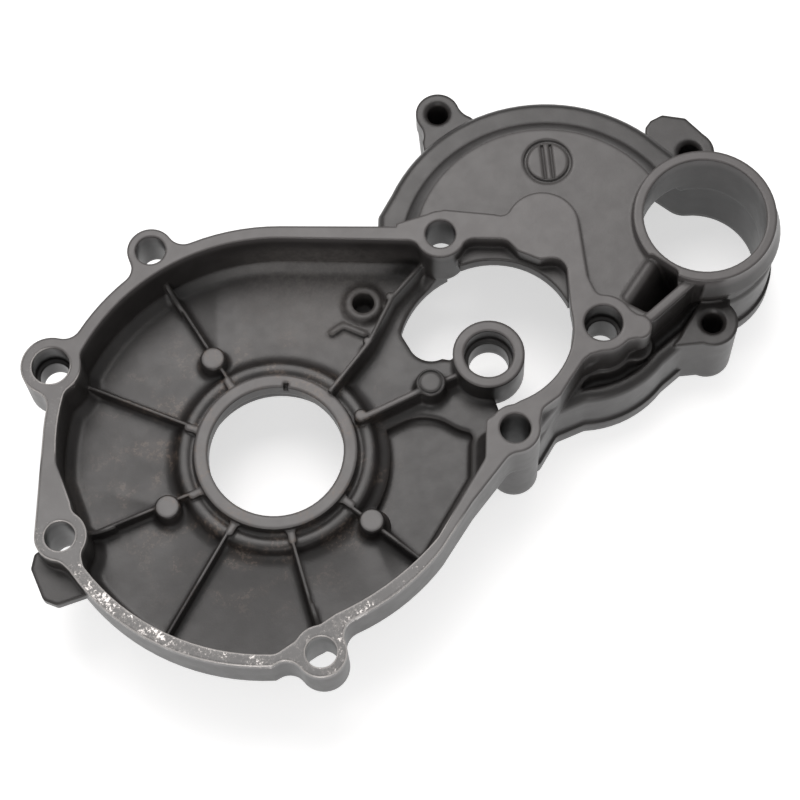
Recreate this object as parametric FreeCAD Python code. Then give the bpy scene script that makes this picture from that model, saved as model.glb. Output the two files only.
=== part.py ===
import FreeCAD, Part
import os
import math
from FreeCAD import Vector

os.makedirs("parts", exist_ok=True)

# Die-cast housing: a one-piece gear cover. The left lobe is a ribbed cup around the main bore,
# the right lobe a chamber that is open downward and carries the starter bore.
# Millimetres. The origin is on the main bore's axis, in the machined face of its ring.
# +Z is the side of the joint face, +X points from the main bore to the starter bore.

# ---- levels ----
joint_z = 10.0
floor_z = -5.5
floor_thickness = 3.0
ledge_z = -2.5
rib_z = -1.3
pad_z = -0.6
arm_z = 0.0
idler_face_z = 2.5
curved_rib_z = 1.5
deep_z = -7.8
groove_z = -6.0
island_drop = 1.5
shoulder_z = 5.0
roof_thickness = 3.0
starter_rise = 1.0
ear_z = 2.0
lug_z = -0.5
crest_z = -1.5
foot_z = -20.5
boss_length = 13.0
web_z = 9.0
tab_z = 3.0
tab_thickness = 2.5
crest_round = 2.0
crest_width = 3.0
shoulder_round = 2.0
foot_lip = 0.6
foot_height = 4.5
lug_thickness = 4.0
ear_thickness = 6.0
pocket_z = -8.0
pocket_wall = 2.5
deep_thickness = 2.5
deep_margin = 2.5
web_start = (87.0, -15.6)
web_end = (102.4, -11.8)
web_width = 2.2
blind_at = (35.2, 24.4)
insert_at = (87.8, 30.5)
insert_r = 5.7
insert_groove = 0.9
insert_depth = 0.6
insert_turn = 67.0
blind_boss_r = 4.3
step_width = 1.6
step_rise = 0.8

# ---- joint bolts, clearance holes for M6 ----
bolt_hole_r = 3.5
boss_r = 5.7
bolt_top = (-4.1, 54.2)
bolt_left = (-52.0, 1.6)
bolt_bottom = (-13.1, -49.4)
bolt_corner = (48.8, -24.4)
bolt_right = (56.7, 25.6)

# ---- dowel places: a wide seat that steps down to a bolt hole ----
dowel_r = 4.4
dowel_depth = 7.0
dowel_boss_r = 6.9
dowel_left = (-36.6, 39.3)
dowel_right = (78.7, -11.7)
dowel_right_length = 16.4

# ---- cup: the left lobe ----
cup_wall = 3.0
cup_top_r = 48.7
cup_low_r = 50.5
cup_foot_round = 5.0
cup_step = 0.3
floor_round = 3.0
deep_round = 1.2
top_line_angle = 61.0
left_line_angle = 152.0

# ---- main bore ----
bore_r = 15.6
bore_depth = 4.2
ring_r = 18.7
ledge_inner_r = 20.3
ledge_outer_r = 22.6
slope_foot_r = 25.2
seat_r = 17.8
hub_r = 22.0
hub_drop = 4.0
drain_angle = 54.6
drain_width = 1.2

# ---- idler bore on its arm ----
idler_at = (53.6, -3.3)
idler_boss_r = 8.3
idler_bore_r = 5.7
idler_bore_depth = 5.0
idler_hole_r = 4.7
arm_width = 3.1

# ---- gear opening ----
gear_at = (56.2, -0.8)
gear_r = 19.0
gear_top_r = 18.2
lip_depth = 5.5

# ---- right lobe ----
lobe_at = (76.8, 11.3)
lobe_r = 39.8
lobe_wall = 3.0
plateau_r = 30.5
channel_r = 34.0
pivot_at = (78.4, 16.2)
pivot_r = 7.3
pivot_island_r = 8.4
pivot_depth = 12.0
pivot_hole_r = 3.0

# ---- starter bore ----
starter_at = (112.2, 0.0)
starter_bore_r = 14.2
starter_ring_r = 16.5
starter_wall_r = 17.6
starter_tube = 13.0

# ---- tapped lugs, M6 ----
tap_r = 2.5
tap_depth = 12.0
lug_r = 5.9
lug_offset = (-8.7, -20.1)
ear_at = (72.7, 57.0)
ear_r = 5.2

# ---- ribs and ejector pads in the cup ----
rib_width = 1.7
rib_edge = 0.35
rib_cove = 1.2
rib_run = 8.0
curved_rib_width = 2.2
root_round = 1.3
pad_r = 2.9
pad_circle_r = 27.6
pad_angles = (95.1, 179.9, 295.0)


def polar(radius, degrees, centre=(0.0, 0.0)):
    """Point at a radius and an angle from a centre."""
    angle = math.radians(degrees)
    return (centre[0] + radius * math.cos(angle), centre[1] + radius * math.sin(angle))


def disc(centre, radius):
    """Flat round face at level zero."""
    return Part.Face(Part.Wire(Part.makeCircle(radius, Vector(centre[0], centre[1], 0))))


def outline(start, *legs):
    """Flat face bounded by lines (x, y) and arcs ((via), (end)), closed to its start."""
    edges = []
    here = Vector(start[0], start[1], 0)
    for leg in legs + (start,):
        curved = isinstance(leg[0], tuple)
        end = leg[1] if curved else leg
        there = Vector(end[0], end[1], 0)
        if curved:
            via = Vector(leg[0][0], leg[0][1], 0)
            edges.append(Part.Arc(here, via, there).toShape())
        elif here.distanceToPoint(there) > 1e-6:
            edges.append(Part.makeLine(here, there))
        here = there
    loop = Part.Wire(edges)
    if Part.Face(loop).normalAt(0, 0).z < 0:
        loop.reverse()
    return Part.Face(loop)


def join(first, *rest):
    """One flat face or solid made of several that touch."""
    whole = first.fuse(list(rest)).removeSplitter()
    if whole.ShapeType in ("Compound", "Shell") and len(whole.Faces) == 1:
        return whole.Faces[0]
    return whole


def true_arcs(face):
    """The same flat face with every edge a plain line or a plain arc."""
    edges = []
    for edge in face.OuterWire.OrderedEdges:
        middle = edge.valueAt((edge.FirstParameter + edge.LastParameter) / 2)
        ends = [edge.valueAt(edge.FirstParameter), edge.valueAt(edge.LastParameter)]
        if middle.distanceToLine(ends[0], ends[1] - ends[0]) < 1e-5:
            edges.append(Part.makeLine(ends[0], ends[1]))
        else:
            edges.append(Part.Arc(ends[0], middle, ends[1]).toShape())
    loop = Part.Wire(Part.__sortEdges__(edges))
    if Part.Face(loop).normalAt(0, 0).z < 0:
        loop.reverse()
    return Part.Face(loop)


def grow(face, distance):
    """Flat face made wider (or narrower) all round."""
    return true_arcs(face.makeOffset2D(distance))


def soften(face, inner_round, outer_round):
    """Round the hollow corners of a flat face, then its proud corners."""
    if inner_round > 0:
        face = grow(grow(face, inner_round), -inner_round)
    if outer_round > 0:
        face = grow(grow(face, -outer_round), outer_round)
    return face


def prism(face, low, high):
    """Upright solid on a flat outline, from one level to another."""
    solid = face.extrude(Vector(0, 0, high - low))
    solid.translate(Vector(0, 0, low))
    return solid


def post(centre, radius, low, high):
    """Upright cylinder between two levels."""
    return Part.makeCylinder(radius, high - low, Vector(centre[0], centre[1], low))


def taper(centre, low_r, high_r, low, high):
    """Upright cone frustum between two levels."""
    return Part.makeCone(low_r, high_r, high - low, Vector(centre[0], centre[1], low))


# ---------------------------------------------------------------- outlines
def cup_wall_outline():
    """Outer edge of the left lobe without its bosses, closed across the gear opening."""
    outer_r = cup_top_r + cup_wall
    top_end = polar(outer_r, top_line_angle)
    run = top_line_angle - 90.0
    right_end = polar(33.0, run, top_end)
    left_end = polar(boss_r, left_line_angle, bolt_left)
    low_r = cup_low_r + cup_wall
    return outline(
        right_end,
        top_end,
        (polar(outer_r, 105.0), polar(outer_r, left_line_angle)),
        left_end,
        polar(low_r + 0.4, 187.0),
        (polar(low_r, 215.0), polar(low_r - 0.6, 243.0)),
        (-3.3, -46.2),
        ((9.7, -45.2), (21.0, -41.4)),
        (32.0, -35.1),
        (43.5, -29.8),
        bolt_corner,
        bolt_right,
    )


def cup_outline():
    """Outer edge of the left lobe's joint face, its bosses blended in."""
    bosses = [disc(bolt_top, boss_r - 0.3), disc(bolt_left, boss_r), disc(bolt_bottom, boss_r)]
    bosses += [disc(bolt_corner, boss_r), disc(bolt_right, boss_r), disc(dowel_left, dowel_boss_r)]
    return soften(join(cup_wall_outline(), *bosses), 4.0, 0.0)


def cavity_outline():
    """Inner edge of the joint face: the cup and the gear opening."""
    low_r = cup_low_r
    space = outline(
        polar(cup_top_r, top_line_angle - 1.0),
        (polar(cup_top_r, 105.0), polar(cup_top_r, 159.0)),
        (-46.6, 8.0),
        polar(low_r + 0.4, 188.0),
        (polar(low_r, 215.0), polar(low_r - 0.2, 244.0)),
        (-6.3, -43.4),
        ((8.0, -42.6), (21.6, -38.6)),
        (39.5, -27.4),
        (44.0, -19.5),
        (53.0, -19.2),
        (polar(gear_top_r, -60.0, gear_at), polar(gear_top_r, -14.0, gear_at)),
        (78.7, 5.6),
        (77.2, 7.6),
        (73.7, 9.0),
        (70.4, 13.2),
        (69.4, 17.2),
        (62.3, 21.3),
        (56.7, 21.0),
        (50.9, 26.9),
    )
    keep = [disc(bolt_left, boss_r + 0.3), disc(bolt_bottom, boss_r + 0.3), disc(bolt_corner, boss_r)]
    keep += [disc(bolt_right, boss_r + 0.1), disc(dowel_left, dowel_boss_r)]
    return soften(space.cut(keep).Faces[0], 1.2, floor_round + 0.3)


def island_outline():
    """The joint face's right part, around the gear opening."""
    plate = outline(
        (47.0, 33.2),
        (57.0, 31.4),
        (60.4, 30.6),
        (70.0, 24.0),
        pivot_at,
        polar(pivot_island_r, -19.0, pivot_at),
        (81.2, 0.0),
        (80.8, -5.0),
        (84.6, -9.0),
        (86.4, -13.6),
        (85.3, -19.2),
        (81.4, -17.9),
        (78.4, -18.4),
        (72.4, -17.0),
        (70.4, -17.4),
        (65.4, -20.1),
        (61.5, -22.4),
        (56.5, -23.2),
        (53.0, -27.6),
        bolt_corner,
        bolt_right,
    )
    discs = [disc(pivot_at, pivot_island_r), disc(dowel_right, dowel_boss_r), disc((85.3, -16.4), 2.9)]
    discs += [disc(bolt_right, boss_r + 0.1), disc(bolt_corner, boss_r)]
    return soften(join(plate, *discs), 2.5, 0.6)


def gear_outline():
    """The gear opening at floor level, with the arm and the idler boss left standing."""
    wide_r = gear_r + 3.2
    hole = outline(
        polar(wide_r, 84.0, gear_at),
        (polar(wide_r, 112.0, gear_at), polar(wide_r, 139.0, gear_at)),
        (39.6, 9.6),
        ((40.6, 6.0), (45.0, 3.6)),
        idler_at,
        (61.4, -3.6),
        (60.0, -11.0),
        (56.5, -13.4),
        (56.5, -21.0),
        (62.0, -21.0),
        (62.0, 20.0),
    )
    return soften(hole.cut(disc(idler_at, idler_boss_r + 0.3)).Faces[0], 0.0, 1.0)


def lobe_outline():
    """Outer wall of the right lobe at its foot."""
    plate = outline(
        (47.2, 39.0),
        (52.6, 42.6),
        (polar(lobe_r, 75.0, lobe_at), polar(lobe_r, 24.0, lobe_at)),
        (starter_at[0] + 10.0, 8.0),
        (starter_at[0] + 5.0, -12.0),
        (103.5, -20.3),
        (96.0, -21.4),
        (89.0, -23.0),
        ((80.9, -25.1), (68.6, -22.8)),
        (61.0, -22.2),
        (54.0, -26.5),
        bolt_corner,
        polar(lobe_r, 229.0, lobe_at),
        (polar(lobe_r, 180.0, lobe_at), polar(lobe_r, 142.0, lobe_at)),
    )
    return soften(join(plate, disc(starter_at, starter_wall_r)), 3.0, 1.5)


def upper_outline():
    """Outer wall of the right lobe at shoulder level."""
    plate = outline(
        (47.2, 39.0),
        (52.6, 42.6),
        (polar(lobe_r, 75.0, lobe_at), polar(lobe_r, 24.0, lobe_at)),
        (starter_at[0] + 8.0, 8.0),
        (starter_at[0], -8.0),
        (102.2, -12.6),
        (87.6, -17.0),
        (78.0, -17.5),
        (70.4, -17.4),
        (61.5, -22.4),
        (52.0, -26.5),
        bolt_corner,
        polar(lobe_r, 229.0, lobe_at),
        (polar(lobe_r, 180.0, lobe_at), polar(lobe_r, 142.0, lobe_at)),
    )
    return soften(join(plate, disc(starter_at, starter_ring_r)), 1.5, 1.5)


# ---------------------------------------------------------------- outer body
def cup_body():
    """Left lobe before hollowing: the cup with its lower edge rounded, and the bosses."""
    base = floor_z - floor_thickness
    body = prism(grow(soften(cup_wall_outline(), 0.0, 4.0), -cup_step), base, joint_z - boss_length + 1.0)
    low = [edge for edge in body.Edges if edge.BoundBox.ZMax < base + 0.01]
    body = body.makeFillet(cup_foot_round, low)
    body = body.fuse(prism(cup_outline(), joint_z - boss_length, joint_z))
    tab = outline((-51.0, 3.0), (-58.8, 3.0), (-61.0, 0.2), (-61.6, -7.6), (-59.4, -10.2), (-50.0, -11.6))
    return body.fuse(prism(soften(tab, 0.0, 1.4), tab_z - tab_thickness, tab_z))


def lobe_body():
    """Right lobe before hollowing: foot, skirt, shoulder, plateau and island."""
    plateau_z = joint_z - island_drop
    skirt = prism(lobe_outline(), foot_z, crest_z)
    top_rim = [edge for edge in skirt.Edges if edge.BoundBox.ZMin > crest_z - 0.01]
    skirt = skirt.makeFillet(crest_round, top_rim)
    foot = prism(grow(lobe_outline(), foot_lip), foot_z, foot_z + foot_height)
    upper = prism(upper_outline(), crest_z - 4.0, shoulder_z)
    top_rim = [edge for edge in upper.Edges if edge.BoundBox.ZMin > shoulder_z - 0.01]
    upper = upper.makeFillet(shoulder_round, top_rim)
    raised = join(
        post(lobe_at, plateau_r, shoulder_z, plateau_z),
        taper(lobe_at, channel_r, plateau_r, shoulder_z, plateau_z),
    )
    limit = prism(grow(upper_outline(), -0.6), shoulder_z - 1.0, joint_z)
    island = prism(island_outline(), shoulder_z - 2.0, joint_z)
    return skirt.fuse([foot, upper, raised.common(limit), island])


def starter_body():
    """Starter bore's tube with its drafted wall down to the foot."""
    face_z = joint_z + starter_rise
    tube = post(starter_at, starter_ring_r, face_z - starter_tube, face_z)
    root = taper(starter_at, starter_ring_r + 1.6, starter_ring_r, shoulder_z - 1.0, joint_z - 0.5)
    wall = taper(starter_at, starter_wall_r, starter_ring_r, foot_z, face_z - 1.0)
    return tube.fuse([root, wall])


def lugs():
    """Tapped ears: two beside the starter bore, one on the lobe's far side."""
    near = (starter_at[0] + lug_offset[0], starter_at[1] + lug_offset[1])
    far = (starter_at[0] - lug_offset[0], starter_at[1] - lug_offset[1])
    horn = outline(
        (91.9, -20.8),
        ((96.3, -18.9), (99.2, -15.2)),
        (110.2, -17.0),
        ((108.4, -20.0), (107.5, -24.5)),
        (99.0, -23.8),
    )
    near_ear = soften(join(disc(near, lug_r), horn), 0.0, 0.4)
    far_tab = outline((110.5, 22.0), (115.0, 30.8), (117.0, 31.8), (120.2, 31.8), (124.6, 28.4), (126.4, 22.0), (120.0, 18.0))
    far_ear = join(disc(far, lug_r), far_tab, disc(starter_at, starter_ring_r))
    top_ear = join(disc(ear_at, ear_r), outline((64.0, 46.0), (82.0, 46.0), (79.0, 52.6), (66.0, 52.0)))
    solids = [prism(near_ear, foot_z, lug_z)]
    solids.append(prism(soften(far_ear, 2.0, 1.0), lug_z - lug_thickness, lug_z))
    solids.append(post(far, lug_r, foot_z, lug_z))
    solids.append(prism(soften(top_ear, 5.0, 0.0), ear_z - ear_thickness, ear_z))
    solids.append(taper(ear_at, ear_r - 0.8, ear_r, foot_z, ear_z))
    return solids


# ---------------------------------------------------------------- hollows
def chamber():
    """Space of the right lobe, open at its foot."""
    base = floor_z - floor_thickness
    wide = grow(lobe_outline(), -lobe_wall)
    low = prism(wide, foot_z - 1.0, base)
    cup_zone = cup_wall_outline().cut(gear_outline())
    middle = prism(wide.cut(cup_zone), base, crest_z - roof_thickness)
    narrow = grow(upper_outline(), -lobe_wall).cut(cup_zone)
    high = prism(narrow, crest_z - roof_thickness, shoulder_z - roof_thickness)
    crown = narrow.common(disc(lobe_at, plateau_r - 1.0))
    roof = prism(crown, shoulder_z - roof_thickness, joint_z - island_drop - roof_thickness)
    return low.fuse([middle, high, roof])


def pocket_outline():
    """Blind pocket between the right dowel place and the starter ring."""
    plan = outline(
        (85.2, -7.9),
        (96.3, -1.9),
        (99.8, -9.0),
        (98.4, -11.6),
        (89.0, -14.0),
    )
    return soften(plan, 0.0, 1.3)


def groove_outline():
    """Hollow between the skirt's crest and the upper wall."""
    inside = grow(lobe_outline(), -crest_width)
    zone = outline((69.0, -12.0), (100.0, -8.0), (104.0, -14.2), (97.6, -18.0), (93.0, -30.0), (69.0, -30.0))
    return inside.common(zone).Faces[0]


# ---------------------------------------------------------------- inside the cup
def hub():
    """Ring of the main bore with the ledge and the slope around it, and the seat's housing below."""
    base = floor_z - floor_thickness
    corners = [
        (bore_r - 0.5, 0.0),
        (ring_r, 0.0),
        (ring_r + 0.15, ledge_z),
        (ring_r + 0.8, ledge_z - 0.6),
        (ledge_inner_r, ledge_z - 0.2),
        (ledge_outer_r - 1.1, ledge_z),
        (ledge_outer_r - 0.1, ledge_z - 0.25),
        (ledge_outer_r + 0.6, ledge_z - 1.0),
        (slope_foot_r - 1.5, floor_z + 0.9),
        (slope_foot_r - 0.5, floor_z + 0.25),
        (slope_foot_r + 0.8, floor_z),
        (slope_foot_r + 0.8, base),
        (hub_r, base),
        (hub_r - 0.3, base - hub_drop),
        (bore_r - 0.5, base - hub_drop),
    ]
    wire = Part.makePolygon([Vector(radius, 0, level) for radius, level in corners + corners[:1]])
    return Part.Face(wire).revolve(Vector(0, 0, 0), Vector(0, 0, 1), 360)


def hub_bore():
    """Main bore: the lip with its oil notch and the wider seat below."""
    base = floor_z - floor_thickness - hub_drop
    lip = post((0.0, 0.0), bore_r, -bore_depth - 0.5, 1.0)
    seat = post((0.0, 0.0), seat_r, base - 1.0, -bore_depth)
    mouth = taper((0.0, 0.0), seat_r + 0.8, seat_r, base, base + 0.8)
    drain = Part.makeBox(2.4, drain_width, 2.2, Vector(bore_r - 1.2, -drain_width / 2, -2.0))
    drain.rotate(Vector(0, 0, 0), Vector(0, 0, 1), drain_angle)
    return [lip, seat, mouth, drain]


def half_section(half, top):
    """Half cross-section of a rib or post in X and Z: broken top edge, splayed foot."""
    low = floor_z - 1.0
    corners = [
        (0.0, top),
        (half - rib_edge, top),
        (half, top - rib_edge),
        (half + 0.1, floor_z + rib_cove),
        (half + 0.1 + rib_cove * 0.35, floor_z + rib_cove * 0.35),
        (half + 0.1 + rib_cove, floor_z),
        (half + 0.1 + rib_cove, low),
        (0.0, low),
        (0.0, top),
    ]
    return Part.Face(Part.makePolygon([Vector(x, 0, z) for x, z in corners]))


def foot_post(centre, radius, top):
    """Round pad or boss with a broken top edge and a splayed foot."""
    body = half_section(radius, top).revolve(Vector(0, 0, 0), Vector(0, 0, 1), 360)
    body.translate(Vector(centre[0], centre[1], 0))
    return body


def rib(start, end, top, width):
    """Rib with a broken top edge and a splayed foot between two points."""
    half = half_section(width / 2, top)
    section = half.fuse(half.mirror(Vector(0, 0, 0), Vector(1, 0, 0))).removeSplitter().Faces[0]
    wall = section.extrude(Vector(0, math.dist(start, end), 0))
    turn = math.degrees(math.atan2(end[1] - start[1], end[0] - start[0])) - 90.0
    wall.rotate(Vector(0, 0, 0), Vector(0, 0, 1), turn)
    wall.translate(Vector(start[0], start[1], 0))
    return wall


def sweep_up(start, end, top, width, rise, run):
    """Web that carries a rib's far end up the wall, its upper edge hollow."""
    length = math.dist(start, end)
    low = floor_z - 1.0
    edges = [
        Part.makeLine(Vector(length - run, 0, low), Vector(length, 0, low)),
        Part.makeLine(Vector(length, 0, low), Vector(length, 0, top + rise)),
        Part.Arc(
            Vector(length, 0, top + rise),
            Vector(length - run * 0.32, 0, top + rise * 0.28),
            Vector(length - run, 0, top),
        ).toShape(),
        Part.makeLine(Vector(length - run, 0, top), Vector(length - run, 0, low)),
    ]
    wall = Part.Face(Part.Wire(edges)).extrude(Vector(0, width, 0))
    wall.translate(Vector(0, -width / 2, 0))
    wall.rotate(Vector(0, 0, 0), Vector(0, 0, 1), math.degrees(math.atan2(end[1] - start[1], end[0] - start[0])))
    wall.translate(Vector(start[0], start[1], 0))
    return wall


def rib_roots(angles):
    """Rounded webs where the ribs leave the ring."""
    arms = [bar(polar(ring_r - 4.0, angle), polar(ring_r + 2.6, angle), rib_width) for angle in angles]
    plan = soften(join(disc((0.0, 0.0), ring_r), *arms), root_round, 0.0)
    return prism(plan.cut(disc((0.0, 0.0), ring_r - 1.0)).Faces[0], floor_z - 1.0, rib_z)


def cup_ribs():
    """Radial ribs and ejector pads around the ring; three ribs sweep up the wall at their bolt bosses."""
    solids = [foot_post(polar(pad_circle_r, angle), pad_r, pad_z) for angle in pad_angles]
    runs = (
        (95.1, 94.6, 50.0, 7.0),
        (134.4, 131.5, 49.5, 0.0),
        (179.9, 177.0, 48.0, 6.0),
        (213.6, 213.6, 51.0, 0.0),
        (253.2, 256.2, 44.6, 5.0),
        (296.2, 294.8, 43.5, 0.0),
    )
    for near, far, reach, rise in runs:
        start = polar(ring_r - 0.3, near)
        end = polar(reach, far)
        solids.append(rib(start, end, rib_z, rib_width))
        if rise > 0:
            solids.append(sweep_up(start, end, rib_z, rib_width - 2 * rib_edge, rise, rib_run))
    solids.append(rib_roots([near for near, far, reach, rise in runs]))
    return solids


def bar(start, end, width):
    """Flat strip with round ends between two points."""
    angle = math.degrees(math.atan2(end[1] - start[1], end[0] - start[0]))
    half = width / 2
    return outline(
        polar(half, angle - 90.0, start),
        polar(half, angle - 90.0, end),
        (polar(half, angle, end), polar(half, angle + 90.0, end)),
        polar(half, angle + 90.0, start),
        (polar(half, angle + 180.0, start), polar(half, angle - 90.0, start)),
    )


def curved_rib():
    """Bent rib from the ring to the right bolt, dividing the floor from the gear opening."""
    corners = (polar(ring_r - 0.2, 22.0), (30.8, 13.4), (40.6, 20.8), (52.0, 25.4))
    solids = [rib(a, b, curved_rib_z, curved_rib_width) for a, b in zip(corners, corners[1:])]
    return solids + [foot_post(corner, curved_rib_width / 2, curved_rib_z) for corner in corners[1:-1]]


def idler_arm():
    """Boss of the idler bore, the wide rib that carries it and the ejector pad on it."""
    tip = polar(ledge_outer_r - 1.4, -4.2)
    pad_at = polar(pad_circle_r + 11.5, -3.1)
    groove = post(pad_at, pad_r, arm_z - 0.4, arm_z + 1.0)
    groove = groove.cut(post(pad_at, pad_r - 0.4, arm_z - 1.0, arm_z + 2.0))
    solids = [
        rib(tip, pad_at, arm_z, arm_width),
        rib(pad_at, idler_at, arm_z - 0.7, arm_width - 0.6),
        foot_post(tip, arm_width / 2, arm_z),
        foot_post(pad_at, pad_r + 0.5, arm_z),
        post(idler_at, idler_boss_r, floor_z - floor_thickness, idler_face_z),
    ]
    return solids, groove


def blind_boss():
    """Boss with a blind tapped hole beside the curved rib, and the low step next to it."""
    base = floor_z - floor_thickness
    solids = [foot_post(blind_at, blind_boss_r, floor_z + rib_cove + 0.3), post(blind_at, 5.0, base - 5.0, floor_z)]
    corners = ((25.4, 21.6), (28.6, 22.0), (32.0, 17.6))
    for a, b in zip(corners, corners[1:]):
        solids.append(prism(bar(a, b, step_width), floor_z - 1.0, floor_z + step_rise))
    return solids, post(blind_at, tap_r + 0.1, base - 3.0, floor_z + 3.0)


def deep_outline():
    """Sunk part of the floor between the lowest rib and the arm, its upper edge a soft S."""
    return outline(
        polar(slope_foot_r - 1.0, -60.0),
        (17.2, -36.0),
        (18.0, -42.0),
        (47.0, -27.0),
        (47.0, -17.9),
        ((42.2, -15.6), (38.8, -11.5)),
        ((34.8, -7.3), (29.6, -5.8)),
        polar(slope_foot_r - 1.0, -13.5),
        (polar(slope_foot_r - 1.0, -38.0), polar(slope_foot_r - 1.0, -60.0)),
    )


def lip():
    """Thin lower lip of the gear opening under the joint face."""
    zone = outline((58.0, 12.0), (58.0, 24.0), (80.0, 24.0), (80.0, -2.0), (70.0, -2.0))
    plan = grow(cavity_outline(), 0.5).common(zone).cut(disc(gear_at, gear_r))
    return prism(plan.Faces[0], joint_z - lip_depth - 2.5, joint_z - lip_depth + 0.8)


def holes():
    """All round holes of the part."""
    cuts = []
    bottom = foot_z - 2.0
    top = joint_z + 3.0
    for place in (bolt_top, bolt_left, bolt_bottom, bolt_corner, bolt_right, dowel_left, dowel_right):
        cuts.append(post(place, bolt_hole_r, bottom, top))
    for place in (dowel_left, dowel_right):
        cuts.append(post(place, dowel_r, joint_z - dowel_depth, top))
    cuts.append(post(idler_at, idler_bore_r, idler_face_z - idler_bore_depth, top))
    cuts.append(post(idler_at, idler_hole_r, bottom, top))
    cuts.append(post(starter_at, starter_bore_r, foot_z + 4.0, top))
    near = (starter_at[0] + lug_offset[0], starter_at[1] + lug_offset[1])
    far = (starter_at[0] - lug_offset[0], starter_at[1] - lug_offset[1])
    for place, level in ((near, lug_z), (far, lug_z), (ear_at, ear_z)):
        cuts.append(post(place, tap_r, level - tap_depth, level + 1.0))
        cuts.append(taper(place, tap_r, tap_r + 0.8, level - 0.8, level))
    cuts.append(post(pivot_at, pivot_hole_r, joint_z - pivot_depth - 1.0, joint_z - 4.0))
    return cuts


def insert_mark():
    """Round die insert in the plateau: a shallow ring groove and a slot between two bars."""
    top = joint_z - island_drop
    low = top - insert_depth
    ring = post(insert_at, insert_r, low, top + 1.0)
    ring = ring.cut(post(insert_at, insert_r - insert_groove, low - 1.0, top + 2.0))
    cuts = [ring]
    for side in (-1.0, 1.0):
        run = insert_r - insert_groove - 0.4
        slot = Part.makeBox(2 * run, 0.7, 1.0, Vector(-run, side * 0.95 - 0.35, low))
        slot.rotate(Vector(0, 0, 0), Vector(0, 0, 1), insert_turn)
        slot.translate(Vector(insert_at[0], insert_at[1], 0))
        cuts.append(slot)
    return cuts


def bowl(plan, low, edge_round):
    """Solid of a hollow: upright walls and a broken lower edge."""
    block = prism(soften(plan, 0.0, edge_round + 0.3), low, joint_z + 2.0)
    bottom = [edge for edge in block.Edges if edge.BoundBox.ZMax < low + 0.01]
    return block.makeChamfer(edge_round * 0.75, bottom)


def hollow(body):
    """Cup, chamber, gear opening and groove taken out of the outer body."""
    base = floor_z - floor_thickness
    inner_edge = cavity_outline()
    sunk = deep_outline()
    below = grow(sunk, deep_margin).common(grow(cup_wall_outline(), -2.0)).Faces[0]
    body = body.fuse(prism(below, deep_z - deep_thickness, base + 0.5))
    body = body.cut(bowl(inner_edge, floor_z, floor_round))
    body = body.cut(bowl(sunk.common(grow(inner_edge, -floor_round - 0.3)).Faces[0], deep_z, deep_round))
    body = body.cut(chamber())
    body = body.cut(prism(gear_outline(), base - 4.0, floor_z + 1.0))
    behind_crest = groove_outline().cut(grow(island_outline(), 0.8)).Faces[0]
    return body.cut(prism(behind_crest, groove_z, joint_z))


def main():
    """Build the housing as one solid and write it."""
    body = hollow(cup_body().fuse([lobe_body(), starter_body()] + lugs()))
    mouth_z = joint_z + starter_rise
    pocket_floor_z = pocket_z - pocket_wall
    blind_solids, blind_hole = blind_boss()
    arm_solids, arm_groove = idler_arm()
    added = [
        post(bolt_right, boss_r + 0.2, joint_z - boss_length, joint_z),
        post(dowel_right, dowel_boss_r, joint_z - dowel_right_length, joint_z),
        post(pivot_at, pivot_r, joint_z - pivot_depth, joint_z),
        taper(bolt_corner, boss_r - 0.1, boss_r, foot_z, joint_z),
        post(starter_at, starter_ring_r, mouth_z - starter_tube, mouth_z),
        prism(grow(pocket_outline(), pocket_wall), pocket_floor_z, joint_z - island_drop),
        prism(bar(web_start, web_end, web_width), pocket_floor_z, web_z),
        hub(),
        lip(),
    ]
    body = body.fuse(added + cup_ribs() + curved_rib() + arm_solids + blind_solids)
    body = body.cut(holes() + hub_bore() + insert_mark() + [blind_hole, arm_groove])
    body = body.cut(prism(pocket_outline(), pocket_z, joint_z + 3.0))
    body.Solids[0].exportStep("parts/housing.step")


main()
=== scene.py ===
"""Looks of a painted die-cast gear housing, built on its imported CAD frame."""

import logging
import math
from dataclasses import dataclass, field
from enum import Enum

import bmesh
import bpy
from mathutils import Matrix, Vector
from mathutils.bvhtree import BVHTree


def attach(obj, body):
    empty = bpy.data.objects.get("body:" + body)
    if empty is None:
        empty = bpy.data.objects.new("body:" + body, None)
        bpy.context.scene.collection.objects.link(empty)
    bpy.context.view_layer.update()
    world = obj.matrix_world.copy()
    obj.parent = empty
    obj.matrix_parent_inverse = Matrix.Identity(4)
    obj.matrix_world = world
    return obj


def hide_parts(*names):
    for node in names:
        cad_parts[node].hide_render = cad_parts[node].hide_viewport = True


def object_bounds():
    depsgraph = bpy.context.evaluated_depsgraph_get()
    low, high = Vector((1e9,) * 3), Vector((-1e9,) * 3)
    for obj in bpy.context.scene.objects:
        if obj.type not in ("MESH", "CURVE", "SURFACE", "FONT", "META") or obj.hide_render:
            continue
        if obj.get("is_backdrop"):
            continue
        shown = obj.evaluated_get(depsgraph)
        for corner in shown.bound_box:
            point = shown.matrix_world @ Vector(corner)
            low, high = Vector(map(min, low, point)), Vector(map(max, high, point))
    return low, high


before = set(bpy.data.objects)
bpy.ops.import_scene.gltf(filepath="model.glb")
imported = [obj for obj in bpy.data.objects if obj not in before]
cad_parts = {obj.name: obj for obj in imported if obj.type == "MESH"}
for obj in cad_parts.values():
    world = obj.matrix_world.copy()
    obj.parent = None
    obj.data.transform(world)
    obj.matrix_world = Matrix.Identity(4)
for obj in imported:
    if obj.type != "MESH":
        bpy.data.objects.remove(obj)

LOG = logging.getLogger("housing")
MM = 0.001

Socket = bpy.types.NodeSocket
Colour = tuple[float, float, float]
Point = tuple[float, float, float]
Outline = tuple[tuple[float, float], ...]

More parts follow.
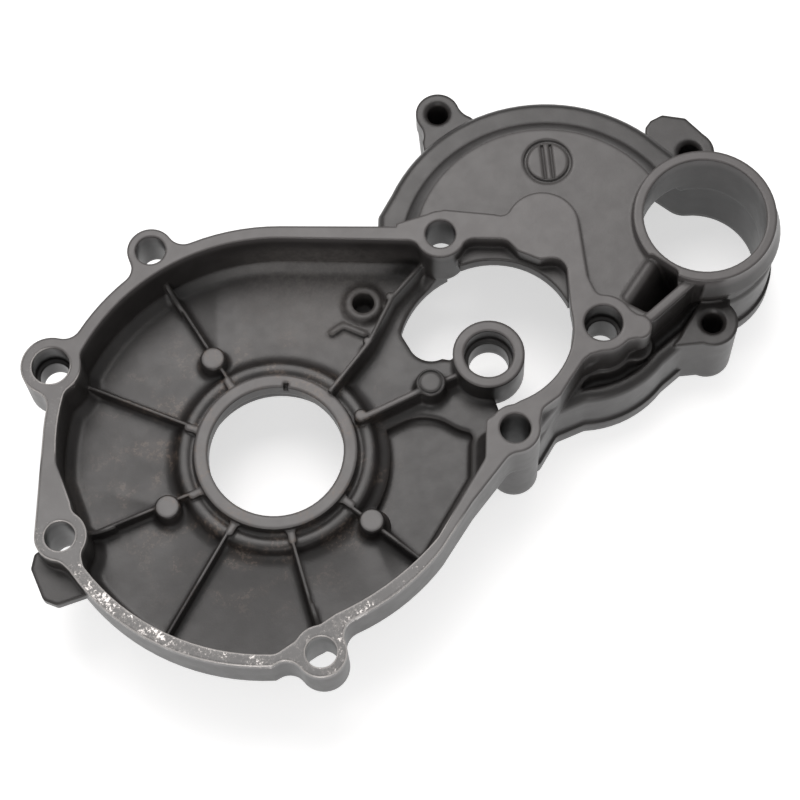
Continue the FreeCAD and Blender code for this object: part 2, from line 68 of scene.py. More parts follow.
SHIFT_RATIOS = (1.0, 0.7, 0.3)
HALF_UNIT = 0.5
MIX_FACTOR, MIX_UNDER, MIX_OVER, MIX_RESULT = 0, 6, 7, 2
WHITE = (1.0, 1.0, 1.0, 1.0)


class Operation(Enum):
    """Math node operations that the finishes use."""

    ADD = "ADD"
    SUBTRACT = "SUBTRACT"
    MULTIPLY = "MULTIPLY"
    MAXIMUM = "MAXIMUM"


@dataclass(frozen=True)
class Span:
    """Range of a number, and what its two ends are mapped to.

    Attributes:
        low: Where the range begins.
        high: Where it ends.
        start: Result at low and below.
        end: Result at high and above.
    """

    low: float
    high: float
    start: float = 0.0
    end: float = 1.0


@dataclass(frozen=True)
class Grain:
    """Recipe of one solid noise.

    Attributes:
        size_mm: Rough size of one blotch.
        detail: Octaves of finer noise.
        roughness: Weight of the finer octaves.
        seed: Shift that makes this noise differ from others.
    """

    size_mm: float
    detail: float
    roughness: float
    seed: float


@dataclass(frozen=True)
class Spot:
    """Soft round spot, in millimetres.

    Attributes:
        centre: The point it lies round.
        core: Radius within which it is full.
        reach: Radius where it has faded out.
    """

    centre: Point
    core: float
    reach: float


@dataclass(frozen=True)
class Relief:
    """Fine roughness of a surface that is shaded and not modelled.

    Attributes:
        strength: Share of the height that shows.
        height_mm: Height of the relief.
    """

    strength: float
    height_mm: float


class NodeBoard:
    """Short-hand for wiring one material's nodes."""

    def __init__(self, name: str) -> None:
        """Start an empty material.

        Args:
            name: The finish's name.
        """
        self.material: bpy.types.Material = bpy.data.materials.new(name)
        self.material.use_nodes = True
        self.tree: bpy.types.NodeTree = self.material.node_tree
        self.tree.nodes.clear()

    def node(self, kind: str, **settings: object) -> bpy.types.Node:
        """Add a node and set its plain properties.

        Args:
            kind: Blender's class name without the ShaderNode prefix.
            **settings: Attribute values set on the node.

        Returns:
            The new node.
        """
        made = self.tree.nodes.new("ShaderNode" + kind)
        for key, value in settings.items():
            setattr(made, key, value)
        return made

    def feed(self, target: Socket, value: Socket | float | Colour) -> None:
        """Link a socket, or set a constant on it.

        Args:
            target: The input socket.
            value: Another node's output, a number or a colour.
        """
        if isinstance(value, bpy.types.NodeSocket):
            self.tree.links.new(value, target)
        elif isinstance(value, tuple) and len(value) == 3 and target.type == "RGBA":
            target.default_value = (*value, 1.0)
        else:
            target.default_value = value

    def place(self) -> Socket:
        """Return the point in the object's own frame, in metres."""
        return self.node("TexCoord").outputs["Object"]

    def math(
        self, operation: Operation, first: Socket | float, second: Socket | float
    ) -> Socket:
        """Join two numbers by one operation.

        Args:
            operation: What to do with them.
            first: Left-hand number.
            second: Right-hand number.

        Returns:
            The result's socket.
        """
        made = self.node("Math", operation=operation.value)
        self.feed(made.inputs[0], first)
        self.feed(made.inputs[1], second)
        return made.outputs[0]

    def times(self, first: Socket | float, second: Socket | float) -> Socket:
        """Multiply two numbers.

        Args:
            first: One number.
            second: The other.

        Returns:
            The product's socket.
        """
        return self.math(Operation.MULTIPLY, first, second)

    def plus(self, first: Socket | float, second: Socket | float) -> Socket:
        """Add two numbers.

        Args:
            first: One number.
            second: The other.

        Returns:
            The sum's socket.
        """
        return self.math(Operation.ADD, first, second)

    def most(self, first: Socket | float, second: Socket | float) -> Socket:
        """Take the larger of two numbers.

        Args:
            first: One number.
            second: The other.

        Returns:
            The larger number's socket.
        """
        return self.math(Operation.MAXIMUM, first, second)

    def ramp(self, value: Socket, span: Span, unit: float = 1.0) -> Socket:
        """Map a range of a number smoothly onto another, clamped.

        Args:
            value: The number to map.
            span: The range and its results.
            unit: What the range's ends are multiplied by.

        Returns:
            The mapped number's socket.
        """
        made = self.node("MapRange", interpolation_type="SMOOTHSTEP")
        self.feed(made.inputs["Value"], value)
        self.feed(made.inputs["From Min"], span.low * unit)
        self.feed(made.inputs["From Max"], span.high * unit)
        self.feed(made.inputs["To Min"], span.start)
        self.feed(made.inputs["To Max"], span.end)
        return made.outputs["Result"]

    def noise(self, grain: Grain) -> Socket:
        """Solid noise with a given grain.

        Args:
            grain: The noise's recipe.

        Returns:
            The noise value's socket.
        """
        shift = self.node("Mapping")
        self.feed(shift.inputs["Vector"], self.place())
        shift.inputs["Location"].default_value = tuple(grain.seed * r for r in SHIFT_RATIOS)
        made = self.node("TexNoise")
        self.feed(made.inputs["Vector"], shift.outputs["Vector"])
        made.inputs["Scale"].default_value = 1.0 / (grain.size_mm * MM)
        made.inputs["Detail"].default_value = grain.detail
        made.inputs["Roughness"].default_value = grain.roughness
        return made.outputs["Fac"]

    def blend(self, factor: Socket, under: Socket | Colour, over: Socket | Colour) -> Socket:
        """Lay one colour over another.

        Args:
            factor: How much of the upper colour shows.
            under: Lower colour.
            over: Upper colour.

        Returns:
            The blended colour's socket.
        """
        made = self.node("Mix", data_type="RGBA")
        self.feed(made.inputs[MIX_FACTOR], factor)
        self.feed(made.inputs[MIX_UNDER], under)
        self.feed(made.inputs[MIX_OVER], over)
        return made.outputs[MIX_RESULT]

    def height(self) -> Socket:
        """Return the height in the object's own frame, in metres."""
        split = self.node("SeparateXYZ")
        self.feed(split.inputs[0], self.place())
        return split.outputs["Z"]

    def level(self, span: Span) -> Socket:
        """Map a band of heights.

        Args:
            span: The band, in millimetres, and its results.

        Returns:
            The mapped number's socket.
        """
        return self.ramp(self.height(), span, MM)

    def towards(self, heading_deg: float) -> Socket:
        """Measure how far a point lies from the main bore's axis along a level heading.

        Args:
            heading_deg: Angle from +X towards +Y.

        Returns:
            The distance in metres.
        """
        angle = math.radians(heading_deg)
        made = self.node("VectorMath", operation="DOT_PRODUCT")
        self.feed(made.inputs[0], self.place())
        made.inputs[1].default_value = (math.cos(angle), math.sin(angle), 0.0)
        return made.outputs["Value"]

    def near(self, spot: Spot) -> Socket:
        """Tell how far a point is within a soft spot.

        Args:
            spot: The spot.

        Returns:
            1 in the spot's core, 0 beyond its reach.
        """
        made = self.node("VectorMath", operation="DISTANCE")
        self.feed(made.inputs[0], self.place())
        made.inputs[1].default_value = tuple(c * MM for c in spot.centre)
        return self.ramp(made.outputs["Value"], Span(spot.core, spot.reach, 1.0, 0.0), MM)

    def bump(self, relief: Relief, height: Socket, normal: Socket, **settings: object) -> Socket:
        """Lay a relief over a normal.

        Args:
            relief: Its strength and height.
            height: Where it stands out.
            normal: The normal under it.
            **settings: Attribute values set on the node.

        Returns:
            The new normal's socket.
        """
        made = self.node("Bump", **settings)
        made.inputs["Strength"].default_value = relief.strength
        made.inputs["Distance"].default_value = relief.height_mm * MM
        self.feed(made.inputs["Height"], height)
        self.feed(made.inputs["Normal"], normal)
        return made.outputs["Normal"]


@dataclass(frozen=True)
class CastPaint:
    """Dark grey satin paint on a rough casting, worn to bare metal along the joint's edges, with
    painted highlights on flat tops and edges.

    Heights, spots and distances are in millimetres in the piece's own frame.
    """

    name: str = "cast_paint"
    colour: Colour = (0.0225, 0.0203, 0.0196)
    # Lighter paint of the machined joint face, also laid on the flat tops partly as a painted
    # highlight.
    face_and_highlight_colour: Colour = (0.094, 0.087, 0.086)
    # Lighter face paint towards the lower left.
    lower_left_face_colour: Colour = (0.150, 0.146, 0.144)
    # Colour of dust, also laid along edges as a painted edge highlight.
    dust_and_edge_highlight: Colour = (0.16, 0.148, 0.140)
    grime: Colour = (0.17, 0.13, 0.105)
    primer: Colour = (0.30, 0.285, 0.275)
    bare: Colour = (0.66, 0.63, 0.61)
    bare_metallic: float = 0.4
    sheen: float = 0.6
    roughness: float = 0.37

    bevel_samples: int = 8
    floor_radius_mm: float = 2.0
    cast_radius_mm: float = 1.15
    face_radius_mm: float = 0.9
    above_floor: tuple[float, float] = (-5.0, -3.0)
    up_to_face: tuple[float, float] = (8.8, 9.6)
    edge_bend: Span = Span(0.86, 0.999, 1.0, 0.0)

    flatness: Span = Span(0.96, 0.995)
    above_ledge: Span = Span(-1.7, -1.0)
    hub: Spot = Spot((0.0, 0.0, 0.0), 34.0, 36.0)
    idler: Spot = Spot((53.6, -3.3, 2.5), 10.0, 12.0)
    face_level: Span = Span(7.0, 9.6)
    cup_level: Span = Span(2.0, 7.0, 1.0, 0.0)

    wear_heading_deg: float = 236.0
    wear_level: Span = Span(6.5, 9.6)
    wear_side: Span = Span(8.0, 44.0)
    wear_left: Spot = Spot((-46.0, 34.0, 10.0), 7.0, 17.0)
    wear_left_share: float = 0.6
    chip_grain: Grain = Grain(0.8, 6.0, 0.72, 3.1)
    patch_grain: Grain = Grain(9.0, 7.0, 0.72, 7.7)
    edge_weight: float = 1.2
    edge_wear: float = 0.28
    edge_chips: Span = Span(1.04, 1.16)
    chip_weight: float = 0.75
    patch_wear: float = 0.16
    patch_chips: Span = Span(1.08, 1.15)
    thin_patches: Span = Span(0.96, 1.12)
    thin_wear: Span = Span(0.3, 0.9, 0.0, 0.5)
    least_wear: Span = Span(0.03, 0.2)

    # Distances along the heading over which the face paint grows lighter towards the lower left.
    lower_left_span: Span = Span(-30.0, 45.0)
    mottle_grain: Grain = Grain(9.0, 5.0, 0.6, 1.3)
    mottle: Span = Span(0.35, 0.7, 0.0, 0.22)
    mottle_shade: float = 0.8
    powder_spot: Spot = Spot((30.0, 36.0, -5.5), 4.0, 30.0)
    powder_grain: Grain = Grain(1.2, 6.0, 0.7, 5.5)
    powder: Span = Span(0.3, 0.75, 0.25, 0.75)
    powder_dulls: float = 0.2
    grime_spot: Spot = Spot((-8.0, 3.0, -4.0), 22.0, 44.0)
    grime_blotches: Grain = Grain(7.0, 3.0, 0.5, 9.0)
    grime_reach: Span = Span(0.48, 0.62)
    grime_specks: Grain = Grain(0.9, 3.0, 0.6, 2.0)
    grime_cover: Span = Span(0.5, 0.62, 0.10, 0.55)
    # Share of the dust colour laid along edges: a painted edge highlight, partly thin paint.
    edge_highlight: float = 0.16

    sheen_grain: Grain = Grain(4.0, 5.0, 0.6, 4.2)
    sheen_range: tuple[float, float] = (0.3, 0.7)
    sheen_below: float = 0.02
    sheen_above: float = 0.03
    bare_polish: float = 0.08
    sand_grain: Grain = Grain(0.55, 3.0, 0.6, 6.0)
    sand: Relief = Relief(0.22, 0.06)
    wave_grain: Grain = Grain(5.0, 2.0, 0.5, 8.0)
    wave: Relief = Relief(0.20, 0.12)
    chip_depth: Relief = Relief(0.5, 0.08)

    def softened(self, board: NodeBoard) -> Socket:
        """Return a normal that rounds every edge and corner a little.

        Args:
            board: The material in hand.

        Returns:
            The rounded normal's socket.
        """
        made = board.node("Bevel", samples=self.bevel_samples)
        widest, usual = self.floor_radius_mm * MM, self.cast_radius_mm * MM
        radius = board.level(Span(*self.above_floor, widest, usual))
        narrower = self.face_radius_mm / self.cast_radius_mm
        sharper = board.level(Span(*self.up_to_face, 1.0, narrower))
        board.feed(made.inputs["Radius"], board.times(radius, sharper))
        return made.outputs["Normal"]

    def edge(self, board: NodeBoard, normal: Socket) -> Socket:
        """Tell how near a point is to an edge.

        Args:
            board: The material in hand.
            normal: The rounded normal.

        Returns:
            0 on a flat stretch, 1 on an edge.
        """
        flat = board.node("NewGeometry").outputs["Normal"]
        made = board.node("VectorMath", operation="DOT_PRODUCT")
        board.feed(made.inputs[0], normal)
        board.feed(made.inputs[1], flat)
        return board.ramp(made.outputs["Value"], self.edge_bend)

    def turned_and_highlit_tops(self, board: NodeBoard) -> Socket:
        """Find the flat up-facing tops of the hub, the pads and the idler boss, painted lighter:
        partly their machined finish, partly a painted highlight.

        Args:
            board: The material in hand.

        Returns:
            1 on a machined top.
        """
        split = board.node("SeparateXYZ")
        board.feed(split.inputs[0], board.node("NewGeometry").outputs["Normal"])
        flat = board.ramp(split.outputs["Z"], self.flatness)
        raised = board.times(flat, board.level(self.above_ledge))
        return board.times(raised, board.most(board.near(self.hub), board.near(self.idler)))

    def wear(self, board: NodeBoard) -> Socket:
        """Tell how much the rim of the cup has been handled at a point.

        Args:
            board: The material in hand.

        Returns:
            0 where it is untouched, 1 where it is worn most.
        """
        top = board.level(self.wear_level)
        side = board.ramp(board.towards(self.wear_heading_deg), self.wear_side, MM)
        left = board.times(board.near(self.wear_left), self.wear_left_share)
        return board.times(board.most(side, left), top)

    def chips(self, board: NodeBoard, edge: Socket) -> tuple[Socket, Socket]:
        """Find the spots where the paint is knocked off the rim of the cup.

        Args:
            board: The material in hand.
            edge: Nearness to an edge.

        Returns:
            1 where bare metal shows, and 1 where the paint has worn thin.
        """
        worn = self.wear(board)
        spots = board.noise(self.chip_grain)
        patches = board.noise(self.patch_grain)
        line = board.plus(board.times(edge, self.edge_weight), spots)
        line = board.plus(line, board.times(worn, self.edge_wear))
        line = board.ramp(line, self.edge_chips)
        patch = board.plus(board.times(spots, self.chip_weight), patches)
        patch = board.plus(patch, board.times(worn, self.patch_wear))
        thin = board.ramp(patch, self.thin_patches)
        thin = board.times(thin, board.ramp(worn, self.thin_wear))
        patch = board.ramp(patch, self.patch_chips)
        found = board.most(line, patch)
        return board.times(found, board.ramp(worn, self.least_wear)), thin

    def coat(self, board: NodeBoard, edge: Socket) -> tuple[Socket, Socket]:
        """Colour the sound paint, from the cast surfaces up to the dirt on it, with painted
        highlights on flat tops and along edges.

        Args:
            board: The material in hand.
            edge: Nearness to an edge.

        Returns:
            The colour, and how much powdery dust lies on it.
        """
        # The joint face, by its height, takes the lighter paint of its machined finish; the flat
        # tops take it partly for their finish, partly as a painted highlight.
        face = board.most(board.level(self.face_level), self.turned_and_highlit_tops(board))
        paint = board.blend(face, self.colour, self.face_and_highlight_colour)
        # The joint face and the flat tops grow lighter towards the lower left.
        toward_lower_left = board.ramp(board.towards(self.wear_heading_deg), self.lower_left_span, MM)
        paint = board.blend(board.times(toward_lower_left, face), paint, self.lower_left_face_colour)
        mottle = board.ramp(board.noise(self.mottle_grain), self.mottle)
        shade = tuple(channel * self.mottle_shade for channel in self.face_and_highlight_colour)
        paint = board.blend(mottle, paint, shade)
        below = board.level(self.cup_level)
        powder = board.times(board.near(self.powder_spot), below)
        powder = board.times(powder, board.ramp(board.noise(self.powder_grain), self.powder))
        paint = board.blend(powder, paint, self.dust_and_edge_highlight)
        rust = board.times(board.near(self.grime_spot), below)
        rust = board.times(rust, board.ramp(board.noise(self.grime_blotches), self.grime_reach))
        rust = board.times(rust, board.ramp(board.noise(self.grime_specks), self.grime_cover))
        paint = board.blend(rust, paint, self.grime)
        # Lighter along every edge: a painted edge highlight, partly thin paint on the edges.
        return board.blend(board.times(edge, self.edge_highlight), paint, self.dust_and_edge_highlight), powder

    def sheen_of(self, board: NodeBoard, powder: Socket, bare: Socket) -> Socket:
        """Vary the roughness, duller under dust and smoother on bare metal.

        Args:
            board: The material in hand.
            powder: How much dust lies on the paint.
            bare: Where bare metal shows.

        Returns:
            The roughness.
        """
        limits = (self.roughness - self.sheen_below, self.roughness + self.sheen_above)
        rough = board.ramp(board.noise(self.sheen_grain), Span(*self.sheen_range, *limits))
        rough = board.plus(rough, board.times(powder, self.powder_dulls))
        return board.math(Operation.SUBTRACT, rough, board.times(bare, self.bare_polish))

    def skin(self, board: NodeBoard, normal: Socket, bare: Socket) -> Socket:
        """Lay the sand's grain, slow waves and the chips' depth over the normal.

        Args:
            board: The material in hand.
            normal: The rounded normal.
            bare: Where bare metal shows.

        Returns:
            The finished normal's socket.
        """
        normal = board.bump(self.sand, board.noise(self.sand_grain), normal)
        normal = board.bump(self.wave, board.noise(self.wave_grain), normal)
        return board.bump(self.chip_depth, bare, normal, invert=True)

    def build(self) -> bpy.types.Material:
        """Wire the finish.

        Returns:
            The finished material.
        """
        board = NodeBoard(self.name)
        normal = self.softened(board)
        edge = self.edge(board, normal)
        bare, thin = self.chips(board, edge)
        paint, powder = self.coat(board, edge)
        paint = board.blend(thin, paint, self.primer)
        colour = board.blend(bare, paint, self.bare)
        shader = board.node("BsdfPrincipled")
        board.feed(shader.inputs["Base Color"], colour)
        board.feed(shader.inputs["Roughness"], self.sheen_of(board, powder, bare))
        board.feed(shader.inputs["Metallic"], board.times(bare, self.bare_metallic))
        shader.inputs["Specular IOR Level"].default_value = self.sheen
        board.feed(shader.inputs["Normal"], self.skin(board, normal, bare))
        board.feed(board.node("OutputMaterial").inputs["Surface"], shader.outputs[0])
        return board.material


@dataclass(frozen=True)
class StudioPaper:
    """White paper that keeps the object's shadow and reads as white to the camera."""

    name: str = "studio_paper"
    colour: Colour = (0.80, 0.80, 0.80)
    roughness: float = 0.9
    lift: float = 0.60

    def build(self) -> bpy.types.Material:
        """Wire the paper.

        Returns:
            The finished material.
        """
        board = NodeBoard(self.name)
        rays = board.node("LightPath")
        seen = board.most(rays.outputs["Is Camera Ray"], rays.outputs["Is Glossy Ray"])
        shader = board.node("BsdfPrincipled")
        shader.inputs["Base Color"].default_value = (*self.colour, 1.0)
        shader.inputs["Roughness"].default_value = self.roughness
        shader.inputs["Emission Color"].default_value = WHITE
        board.feed(shader.inputs["Emission Strength"], board.times(seen, self.lift))
        board.feed(board.node("OutputMaterial").inputs["Surface"], shader.outputs[0])
        return board.material


@dataclass
class Infill:
    """Cast web that closes a gap between walls; each kind gives its own upper surface.

    Attributes:
        name: The web's name.
        mask: Outline seen from above that the web stays within, in millimetres.
        below: Height under which a first hit counts as a gap.
        thickness: The web's thickness.
        pitch: Step of its grid.
        tuck: How far it runs on into the walls.
        sky: Height that the search starts from.
    """

    name: str
    mask: Outline
    below: float
    thickness: float = 2.2
    pitch: float = 0.5
    tuck: float = 1.0
    sky: float = 50.0

    def inside(self, x: float, y: float) -> bool:
        """Tell whether a point lies in the mask.

        Args:
            x: First coordinate in millimetres.
            y: Second coordinate in millimetres.

        Returns:
            True inside the mask's outline.
        """
        found = False
        for (x1, y1), (x2, y2) in zip(self.mask, self.mask[1:] + self.mask[:1]):
            if (y1 > y) != (y2 > y) and x < (x2 - x1) * (y - y1) / (y2 - y1) + x1:
                found = not found
        return found

    def first_hit(self, x: float, y: float, walls: BVHTree) -> float:
        """Find the height of the casting's surface as seen from above.

        Args:
            x: First coordinate in millimetres.
            y: Second coordinate in millimetres.
            walls: The casting's surface.

        Returns:
            The height in millimetres, far below everything where nothing is hit.
        """
        hit = walls.ray_cast(Vector((x, y, self.sky)) * MM, Vector((0.0, 0.0, -1.0)))[0]
        return -self.sky if hit is None else hit.z / MM

    def wanted(self, x: float, y: float, walls: BVHTree) -> bool:
        """Tell whether the web reaches a point, gap or wall just beside a gap.

        Args:
            x: First coordinate in millimetres.
            y: Second coordinate in millimetres.
            walls: The casting's surface.

        Returns:
            True where the web has material.
        """
        shifts = (-self.tuck, 0.0, self.tuck)
        places = [(x + a, y + b) for a in shifts for b in shifts]
        return any(self.inside(*at) and self.first_hit(*at, walls) < self.below for at in places)

    def surface(self, x: float, y: float, walls: BVHTree) -> float:
        """Give the height of the web's upper side.

        Args:
            x: First coordinate in millimetres.
            y: Second coordinate in millimetres.
            walls: The casting's surface.

        Returns:
            The height in millimetres.
        """
        raise NotImplementedError

    def add_to(self, shape: bmesh.types.BMesh, walls: BVHTree) -> None:
        """Add the web to the casting's mesh as a closed plate.

        Args:
            shape: The mesh that receives it.
            walls: The casting's surface.
        """
        low = [min(p[k] for p in self.mask) - self.tuck for k in (0, 1)]
        high = [max(p[k] for p in self.mask) + self.tuck for k in (0, 1)]
        spans = [round((high[k] - low[k]) / self.pitch) for k in (0, 1)]
        plate = bmesh.new()
        bmesh.ops.create_grid(plate, x_segments=spans[0], y_segments=spans[1], size=HALF_UNIT)
        lengths = (high[0] - low[0], high[1] - low[1], 1.0)
        middle = ((high[0] + low[0]) / 2, (high[1] + low[1]) / 2, 0.0)
        bmesh.ops.scale(plate, verts=plate.verts, vec=lengths)
        bmesh.ops.translate(plate, verts=plate.verts, vec=middle)
        outside = [v for v in plate.verts if not self.wanted(v.co.x, v.co.y, walls)]
        bmesh.ops.delete(plate, geom=outside, context="VERTS")
        for vert in plate.verts:
            vert.co.z = self.surface(vert.co.x, vert.co.y, walls) - self.thickness
        raised = bmesh.ops.extrude_face_region(plate, geom=plate.faces[:])["geom"]
        tops = [item for item in raised if isinstance(item, bmesh.types.BMVert)]
        bmesh.ops.translate(plate, verts=tops, vec=(0.0, 0.0, self.thickness))
        loose = [v for v in plate.verts if not v.link_faces]
        bmesh.ops.delete(plate, geom=loose, context="VERTS")
        bmesh.ops.recalc_face_normals(plate, faces=plate.faces)
        bmesh.ops.scale(plate, verts=plate.verts, vec=(MM, MM, MM))
        data = bpy.data.meshes.new(self.name)
        plate.to_mesh(data)
        plate.free()
        shape.from_mesh(data)
        bpy.data.meshes.remove(data)


@dataclass
class Trough(Infill):
    """Floor of the groove between two walls, coved up to both.

    Attributes:
        floor: Height of its flat middle.
        cove: Radius of the coves.
    """

    floor: float = -4.5
    cove: float = 2.3

    def surface(self, x: float, y: float, walls: BVHTree) -> float:
        """Give the coved height at a point.

        Args:
            x: First coordinate in millimetres.
            y: Second coordinate in millimetres.
            walls: The casting's surface.

        Returns:
            The height in millimetres.
        """
        if self.first_hit(x, y, walls) > self.floor:
            return self.floor + self.cove
        near = walls.find_nearest(Vector((x, y, self.floor)) * MM)[3] / MM
        left = max(0.0, self.cove - near)
        return self.floor + self.cove - math.sqrt(self.cove**2 - left**2)


@dataclass
class Slope(Infill):
    """Sloping side that leads from an edge down to the floor of a pocket.

    Attributes:
        edge: Two points on the edge, with the pocket to their right.
        crest: Height at the edge.
        run: Level distance from the edge to the slope's foot.
        drop: How far the foot lies under the crest.
    """

    edge: tuple[tuple[float, float], tuple[float, float]] = ((0.0, 0.0), (1.0, 0.0))
    crest: float = 8.4
    run: float = 8.0
    drop: float = 15.5

    def surface(self, x: float, y: float, walls: BVHTree) -> float:
        """Give the height of the slope at a point.

        Args:
            x: First coordinate in millimetres.
            y: Second coordinate in millimetres.
            walls: The casting's surface.

        Returns:
            The height in millimetres.
        """
        (x1, y1), (x2, y2) = self.edge
        away = ((x - x1) * (y2 - y1) - (y - y1) * (x2 - x1)) / math.hypot(x2 - x1, y2 - y1)
        share = min(1.0, max(0.0, away / self.run))
        return self.crest - self.drop * share * share * (3.0 - 2.0 * share)


@dataclass
class HousingCasting:
    """The casting: the CAD solid's surface with its webs, smoothly shaded, in its paint.

    Attributes:
        node: The CAD node that the piece stands for.
        name: The piece's name.
        slot: Name of its material slot; not used.
        weld: Distance within which points are joined, in metres.
        crease_deg: Angle from which an edge is shaded sharp.
        finish: Its paint.
        webs: Plates that close gaps in the solid's surface.
    """

    node: str = "housing"
    name: str = "housing_casting"
    slot: str = "painted_casting"
    weld: float = 1e-6
    crease_deg: float = 28.0
    finish: CastPaint = field(default_factory=CastPaint)
    webs: tuple[Infill, ...] = (
        Trough(
            name="groove_floor",
            mask=(
                (66.0, -18.0), (70.0, -22.4), (76.0, -23.4), (84.0, -23.2),
                (88.0, -21.8), (92.0, -20.5), (100.0, -20.0), (103.0, -18.5),
                (105.0, -16.0), (104.0, -12.6), (99.0, -12.6), (92.0, -14.5),
                (88.0, -16.0), (84.0, -17.5), (78.0, -17.2), (72.0, -16.5),
            ),
            below=-15.0,
        ),
        Slope(
            name="pocket_side",
            mask=((86.5, -13.0), (86.5, -8.0), (97.5, -2.0), (101.0, -6.0), (92.0, -13.5)),
            below=0.0,
            edge=((86.6, -8.9), (98.2, -2.6)),
        ),
    )

    def mesh(self) -> bpy.types.Object:
        """Copy the CAD node's surface, weld it, add the webs and mark the creases.

        Returns:
            The new object, at the origin.
        """
        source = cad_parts[self.node]
        shape = bmesh.new()
        shape.from_mesh(source.data)
        bmesh.ops.remove_doubles(shape, verts=shape.verts, dist=self.weld)
        bmesh.ops.dissolve_degenerate(shape, edges=shape.edges, dist=self.weld)
        walls = BVHTree.FromBMesh(shape)
        for web in self.webs:
            web.add_to(shape, walls)
        crease = math.radians(self.crease_deg)
        for edge in shape.edges:
            edge.smooth = edge.is_manifold and edge.calc_face_angle(0.0) < crease
        for face in shape.faces:
            face.smooth = True
            face.material_index = 0
        data = bpy.data.meshes.new(self.name)
        shape.to_mesh(data)
        shape.free()
        piece = bpy.data.objects.new(self.name, data)
        bpy.context.scene.collection.objects.link(piece)
        return piece

    def build(self) -> bpy.types.Object:
        """Make the piece, dress it and put it in the CAD node's place.

        Returns:
            The finished piece.
        """
        piece = self.mesh()
        piece.data.materials.append(self.finish.build())
        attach(piece, "root")
        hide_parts(self.node)
        return piece


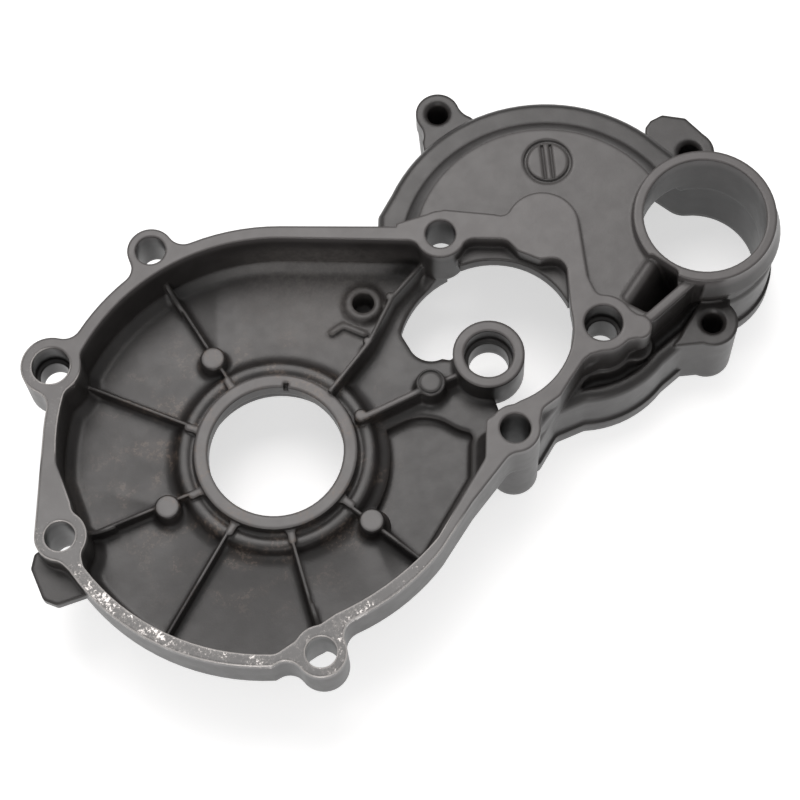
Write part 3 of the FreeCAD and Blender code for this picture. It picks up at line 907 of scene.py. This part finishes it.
@dataclass
class Studio:
    """Floor, world, lamps and camera.

    Attributes:
        floor_half: Half of the floor's side.
        floor_gap: How far the floor lies under the object.
        lamp_place: The main lamp, seen from the object's middle.
        lamp_size: Side of the main lamp.
        lamp_power: Its watts.
        fill_place: The side lamp, seen from the object's middle.
        fill_size: Side of the side lamp.
        fill_power: Its watts.
        sky: Strength of the world on the object.
        white: Strength of the world to the camera.
        lamp_colour: Colour of both lamps.
        eye: The camera's place.
        forward: Where it looks.
        up: Its upward direction.
        lens_mm: Its focal length.
        sensor_mm: Width of its sensor.
        near_clip: Distance from which it sees.
        far_clip: Distance up to which it sees.
    """

    floor_half: float = 3.0
    floor_gap: float = 0.05 * MM
    lamp_place: Point = (0.10, 0.42, 0.85)
    lamp_size: float = 0.6
    lamp_power: float = 4.8
    fill_place: Point = (-0.35, -0.60, 0.30)
    fill_size: float = 0.35
    fill_power: float = 1.2
    sky: float = 0.38
    white: float = 1.0
    lamp_colour: Colour = (1.0, 0.972, 0.96)
    eye: Vector = field(default_factory=lambda: Vector((-46.19, -180.29, 512.05)) * MM)
    forward: Vector = field(default_factory=lambda: Vector((0.14057, 0.32450, -0.93538)))
    up: Vector = field(default_factory=lambda: Vector((0.44845, 0.82141, 0.35236)))
    lens_mm: float = 107.35
    sensor_mm: float = 36.0
    near_clip: float = 0.02
    far_clip: float = 20.0

    def floor(self, low: float) -> bpy.types.Object:
        """Lay the paper under the object.

        Args:
            low: Height of the object's lowest point.

        Returns:
            The floor.
        """
        shape = bmesh.new()
        bmesh.ops.create_grid(shape, x_segments=1, y_segments=1, size=self.floor_half)
        bmesh.ops.translate(shape, verts=shape.verts, vec=(0.0, 0.0, low - self.floor_gap))
        data = bpy.data.meshes.new("studio_floor")
        shape.to_mesh(data)
        shape.free()
        plane = bpy.data.objects.new("studio_floor", data)
        bpy.context.scene.collection.objects.link(plane)
        plane.data.materials.append(StudioPaper().build())
        plane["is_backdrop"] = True
        return plane

    def lamp(
        self, name: str, place: Vector, target: Vector, power: float, size: float
    ) -> bpy.types.Object:
        """Hang a soft square lamp.

        Args:
            name: The lamp's name.
            place: Where it hangs.
            target: What it points at.
            power: Watts.
            size: Side length in metres.

        Returns:
            The lamp.
        """
        data = bpy.data.lights.new(name, "AREA")
        data.energy = power
        data.size = size
        data.color = self.lamp_colour
        lamp = bpy.data.objects.new(name, data)
        lamp.location = place
        lamp.rotation_euler = (target - place).to_track_quat("-Z", "Y").to_euler()
        bpy.context.scene.collection.objects.link(lamp)
        return lamp

    def world(self) -> bpy.types.World:
        """Set an even sky that the camera sees as white.

        Returns:
            The world.
        """
        world = bpy.data.worlds.new("studio_sky")
        world.use_nodes = True
        tree = world.node_tree
        tree.nodes.clear()
        rays = tree.nodes.new("ShaderNodeLightPath")
        strength = tree.nodes.new("ShaderNodeMapRange")
        tree.links.new(rays.outputs["Is Camera Ray"], strength.inputs["Value"])
        strength.inputs["To Min"].default_value = self.sky
        strength.inputs["To Max"].default_value = self.white
        sky = tree.nodes.new("ShaderNodeBackground")
        tree.links.new(strength.outputs["Result"], sky.inputs["Strength"])
        sky.inputs["Color"].default_value = WHITE
        out = tree.nodes.new("ShaderNodeOutputWorld")
        tree.links.new(sky.outputs[0], out.inputs["Surface"])
        bpy.context.scene.world = world
        return world

    def camera(self) -> bpy.types.Object:
        """Place the camera.

        Returns:
            The camera.
        """
        data = bpy.data.cameras.new("studio_camera")
        data.lens = self.lens_mm
        data.sensor_width = self.sensor_mm
        data.clip_start = self.near_clip
        data.clip_end = self.far_clip
        camera = bpy.data.objects.new("studio_camera", data)
        right = self.forward.cross(self.up).normalized()
        turn = Matrix((right, right.cross(self.forward), -self.forward)).transposed().to_4x4()
        turn.translation = self.eye
        camera.matrix_world = turn
        bpy.context.scene.collection.objects.link(camera)
        bpy.context.scene.camera = camera
        return camera

    def build(self, low: float, middle: Vector) -> None:
        """Build the whole studio.

        Args:
            low: Height of the object's lowest point.
            middle: Centre of the object.
        """
        self.floor(low)
        self.world()
        key = middle + Vector(self.lamp_place)
        side = middle + Vector(self.fill_place)
        self.lamp("key_lamp", key, middle, self.lamp_power, self.lamp_size)
        self.lamp("side_lamp", side, middle, self.fill_power, self.fill_size)
        self.camera()


def main() -> None:
    """Build the casting and its studio, and log the piece's face count."""
    logging.basicConfig(level=logging.INFO, format="%(name)s: %(message)s")
    bpy.context.scene.view_settings.view_transform = "Standard"
    cad_low, cad_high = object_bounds()
    piece = HousingCasting().build()
    LOG.info("%s: %d faces", piece.name, len(piece.data.polygons))
    middle = (Vector(cad_low) + Vector(cad_high)) / 2
    Studio().build(cad_low[2], middle)


if __name__ == "__main__":
    main()
